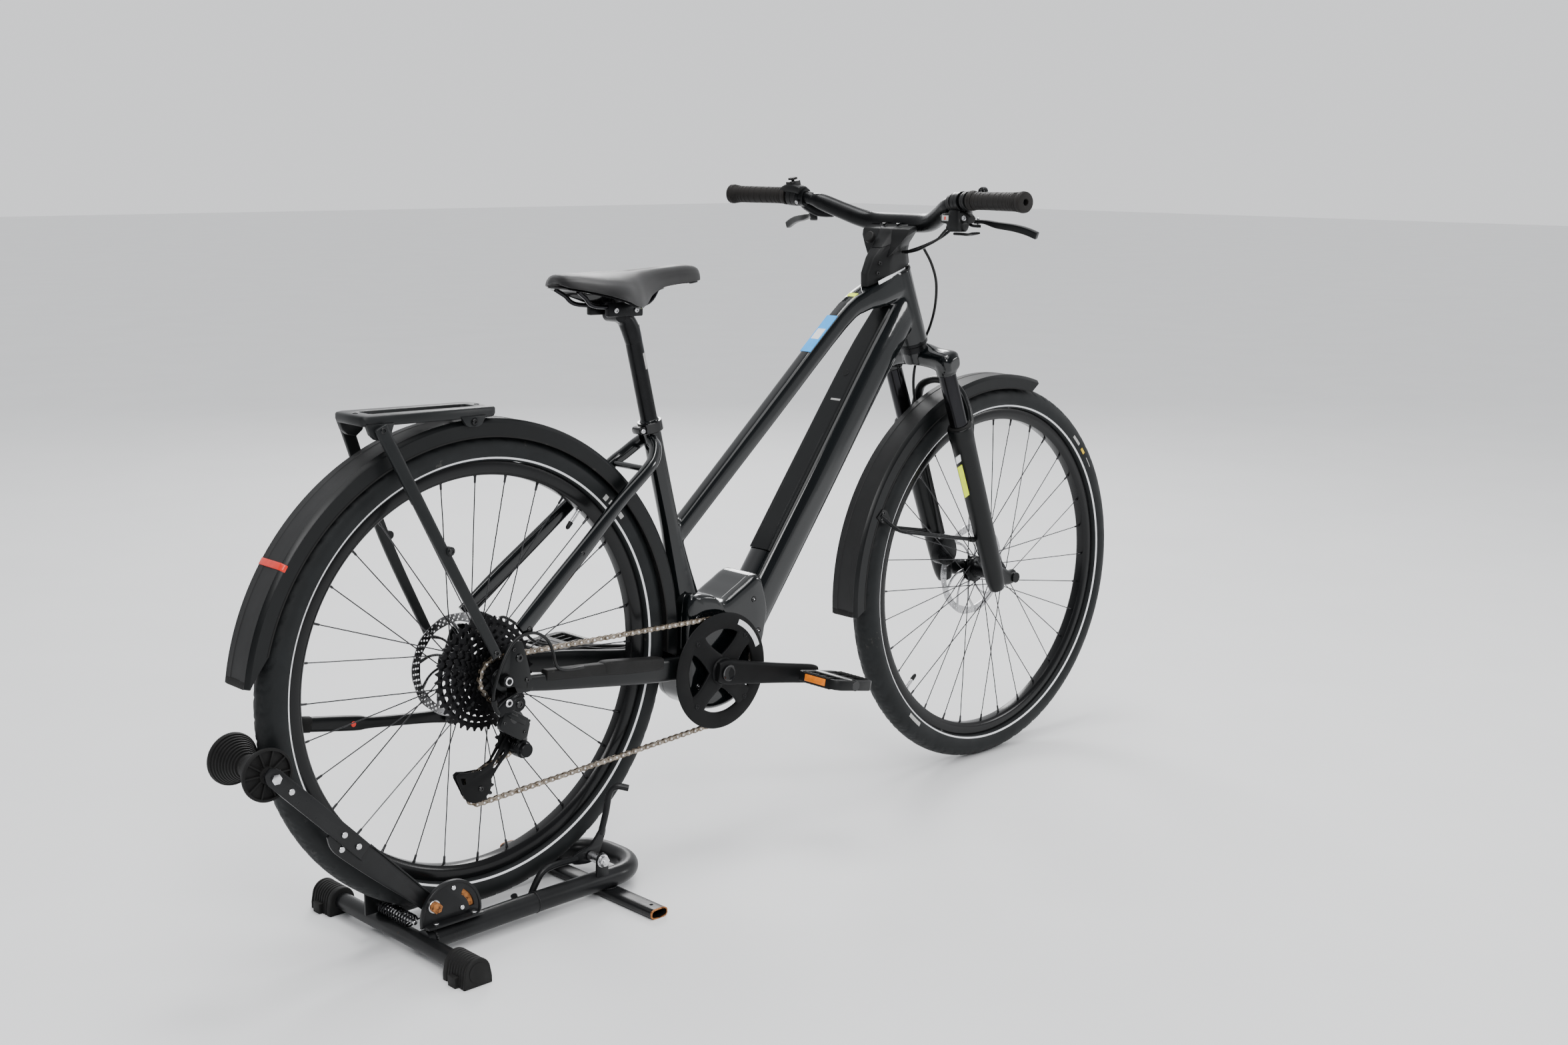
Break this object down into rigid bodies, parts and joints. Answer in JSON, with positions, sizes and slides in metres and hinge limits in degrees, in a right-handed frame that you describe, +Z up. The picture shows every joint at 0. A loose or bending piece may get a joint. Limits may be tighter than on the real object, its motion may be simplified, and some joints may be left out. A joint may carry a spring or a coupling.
{
  "type": "bicycle on roller stand",
  "caption": "Step-through electric city bicycle with rack and mudguards, its rear wheel held up by a sprung roller cradle stand.",
  "frame": {"origin": "on the floor, midway between the roller's rear edge and the front tyre's front edge, on the bicycle's middle plane", "axes": "+X forward along the bicycle, +Y to the rider's left, +Z up"},
  "size_m": [1.9528, 0.6996, 1.1052],
  "materials": {
    "anodised": "anodised black",
    "chain_steel": "plated",
    "cord": "satin",
    "frame_paint": "gloss",
    "gloss_black": "gloss",
    "matte_plastic": "matte",
    "rubber": "matte",
    "saddle_cover": "satin",
    "stand_paint": "satin",
    "steel": "brushed",
    "tyre": "matte"
  },
  "bodies": {
    "stand": {"stand_base": "stand_paint", "stand_cap_right": "rubber", "stand_cap_left": "rubber", "stand_plate_right": "stand_paint", "stand_plate_left": "stand_paint", "stand_spring": "steel"},
    "roller_arm": {"stand_arm": "stand_paint"},
    "roller": {"stand_roller": "rubber"},
    "foot_lever": {"stand_lever": "stand_paint"},
    "bicycle": {"frame_head_tube": "frame_paint", "frame_motor_housing": "gloss_black", "frame_seat_tube": "frame_paint", "frame_down_tube": "frame_paint", "battery_cover": "matte_plastic", "frame_top_tube": "frame_paint", "frame_seatstays": "frame_paint", "frame_chainstay_right": "frame_paint", "frame_chainstay_left": "frame_paint", "seat_clamp": "frame_paint", "rear_mudguard": "matte_plastic", "rack_tray": "anodised", "rack_strut_right": "anodised", "rack_strut_left": "anodised", "rear_caliper": "anodised", "derailleur": "anodised", "derailleur_cage": "anodised", "chain": "chain_steel"},
    "seat_pillar": {"seatpost": "anodised"},
    "seat": {"saddle": "saddle_cover", "saddle_rails": "steel"},
    "side_stand": {"kickstand": "anodised"},
    "rear_wheel": {"rear_tyre": "tyre", "rear_rim": "frame_paint", "rear_hub": "steel"},
    "sprockets": {"cassette": "chain_steel"},
    "upper_jockey": {"jockey_upper": "matte_plastic"},
    "lower_jockey": {"jockey_lower": "matte_plastic"},
    "cranks": {"crank_right": "anodised", "crank_left": "anodised"},
    "right_pedal": {"pedal_right": "matte_plastic"},
    "left_pedal": {"pedal_left": "matte_plastic"},
    "steering": {"fork_crown": "anodised", "stem": "anodised", "handlebar": "anodised", "grip_right": "rubber", "grip_left": "rubber", "control_right": "anodised", "control_left": "anodised", "front_brake_hose": "cord", "control_cables": "cord"},
    "fork_slider": {"fork_lowers": "frame_paint", "front_mudguard": "matte_plastic", "front_caliper": "anodised"},
    "front_wheel": {"front_tyre": "tyre", "front_rim": "frame_paint", "front_hub": "steel"},
    "right_brake_lever": {"brake_lever_right": "anodised"},
    "left_brake_lever": {"brake_lever_left": "anodised"},
    "shifter": {"shift_lever": "matte_plastic"},
    "button": {"remote_button": "matte_plastic"}
  },
  "joints": [
    {"name": "lift_off", "type": "slide", "parent": "stand", "child": "bicycle", "axis": [0, 0, 1], "range_m": [0, 0.5]},
    {"name": "roller_arm_swing", "type": "hinge", "parent": "stand", "child": "roller_arm", "pos_m": [-0.70329, 0, 0.077], "axis": [0, 1, 0], "range_deg": [-40, 0], "stiffness_Nm_per_rad": 8, "springref_deg": 20.05},
    {"name": "roller_spin", "type": "hinge", "parent": "roller_arm", "child": "roller", "pos_m": [-0.93889, 0, 0.3225], "axis": [0, 1, 0], "continuous": true},
    {"name": "foot_lever_swing", "type": "hinge", "parent": "stand", "child": "foot_lever", "pos_m": [-0.39629, -0.0492, 0.066], "axis": [0, 1, 0], "range_deg": [0, 40]},
    {"name": "seat_height", "type": "slide", "parent": "bicycle", "child": "seat_pillar", "axis": [-0.231, 0, 0.9729], "range_m": [-0.06, 0.06]},
    {"name": "saddle_tilt", "type": "hinge", "parent": "seat_pillar", "child": "seat", "pos_m": [-0.29216, 0, 0.90242], "axis": [0, 1, 0], "range_deg": [-8, 8]},
    {"name": "kickstand_swing", "type": "hinge", "parent": "bicycle", "child": "side_stand", "pos_m": [-0.5584, 0.0895, 0.29749], "axis": [0, 1, 0], "range_deg": [-95, 0]},
    {"name": "rear_wheel_spin", "type": "hinge", "parent": "bicycle", "child": "rear_wheel", "pos_m": [-0.56629, 0, 0.3877], "axis": [0, 1, 0], "continuous": true},
    {"name": "crank_spin", "type": "hinge", "parent": "bicycle", "child": "cranks", "pos_m": [-0.12635, 0, 0.31588], "axis": [0, 1, 0], "continuous": true},
    {"name": "cassette_spin", "type": "hinge", "parent": "bicycle", "child": "sprockets", "pos_m": [-0.56629, 0, 0.3877], "axis": [0, 1, 0], "continuous": true},
    {"name": "upper_jockey_spin", "type": "hinge", "parent": "bicycle", "child": "upper_jockey", "pos_m": [-0.54856, -0.0542, 0.29026], "axis": [0, 1, 0], "continuous": true},
    {"name": "lower_jockey_spin", "type": "hinge", "parent": "bicycle", "child": "lower_jockey", "pos_m": [-0.60307, -0.0542, 0.22652], "axis": [0, 1, 0], "continuous": true},
    {"name": "right_pedal_spin", "type": "hinge", "parent": "cranks", "child": "right_pedal", "pos_m": [0.04597, -0.15, 0.28537], "axis": [0, 1, 0], "continuous": true},
    {"name": "left_pedal_spin", "type": "hinge", "parent": "cranks", "child": "left_pedal", "pos_m": [-0.29867, 0.15, 0.34639], "axis": [0, 1, 0], "continuous": true},
    {"name": "steering_turn", "type": "hinge", "parent": "bicycle", "child": "steering", "pos_m": [0.57147, 0, 0.34307], "axis": [-0.3528, 0, 0.9357], "range_deg": [-60, 60]},
    {"name": "fork_travel", "type": "slide", "parent": "steering", "child": "fork_slider", "axis": [-0.3528, 0, 0.9357], "range_m": [0, 0.05], "stiffness_N_per_m": 8000, "springref_m": -0.03},
    {"name": "front_wheel_spin", "type": "hinge", "parent": "fork_slider", "child": "front_wheel", "pos_m": [0.61639, 0, 0.36], "axis": [0, 1, 0], "continuous": true},
    {"name": "right_brake_squeeze", "type": "hinge", "parent": "steering", "child": "right_brake_lever", "pos_m": [0.33313, -0.196, 1.03582], "axis": [-0.0234, 0, -0.9997], "range_deg": [0, 18], "stiffness_Nm_per_rad": 0.5, "springref_deg": -14.32},
    {"name": "left_brake_squeeze", "type": "hinge", "parent": "steering", "child": "left_brake_lever", "pos_m": [0.33313, 0.196, 1.03582], "axis": [0.0234, 0, 0.9997], "range_deg": [0, 18], "stiffness_Nm_per_rad": 0.5, "springref_deg": -14.32},
    {"name": "shift_push", "type": "hinge", "parent": "steering", "child": "shifter", "pos_m": [0.29866, -0.182, 1.01612], "axis": [0.0234, 0, 0.9997], "range_deg": [0, 20], "stiffness_Nm_per_rad": 0.1, "springref_deg": -11.46},
    {"name": "button_press", "type": "slide", "parent": "steering", "child": "button", "axis": [0.177, 0, -0.9842], "range_m": [0, 0.002], "stiffness_N_per_m": 200, "springref_m": -0.002}
  ],
  "couplings": [
    {"joint": "cassette_spin", "follows": "crank_spin", "ratio": 2.9333},
    {"joint": "lower_jockey_spin", "follows": "crank_spin", "ratio": 3.6667},
    {"joint": "upper_jockey_spin", "follows": "crank_spin", "ratio": -4}
  ]
}
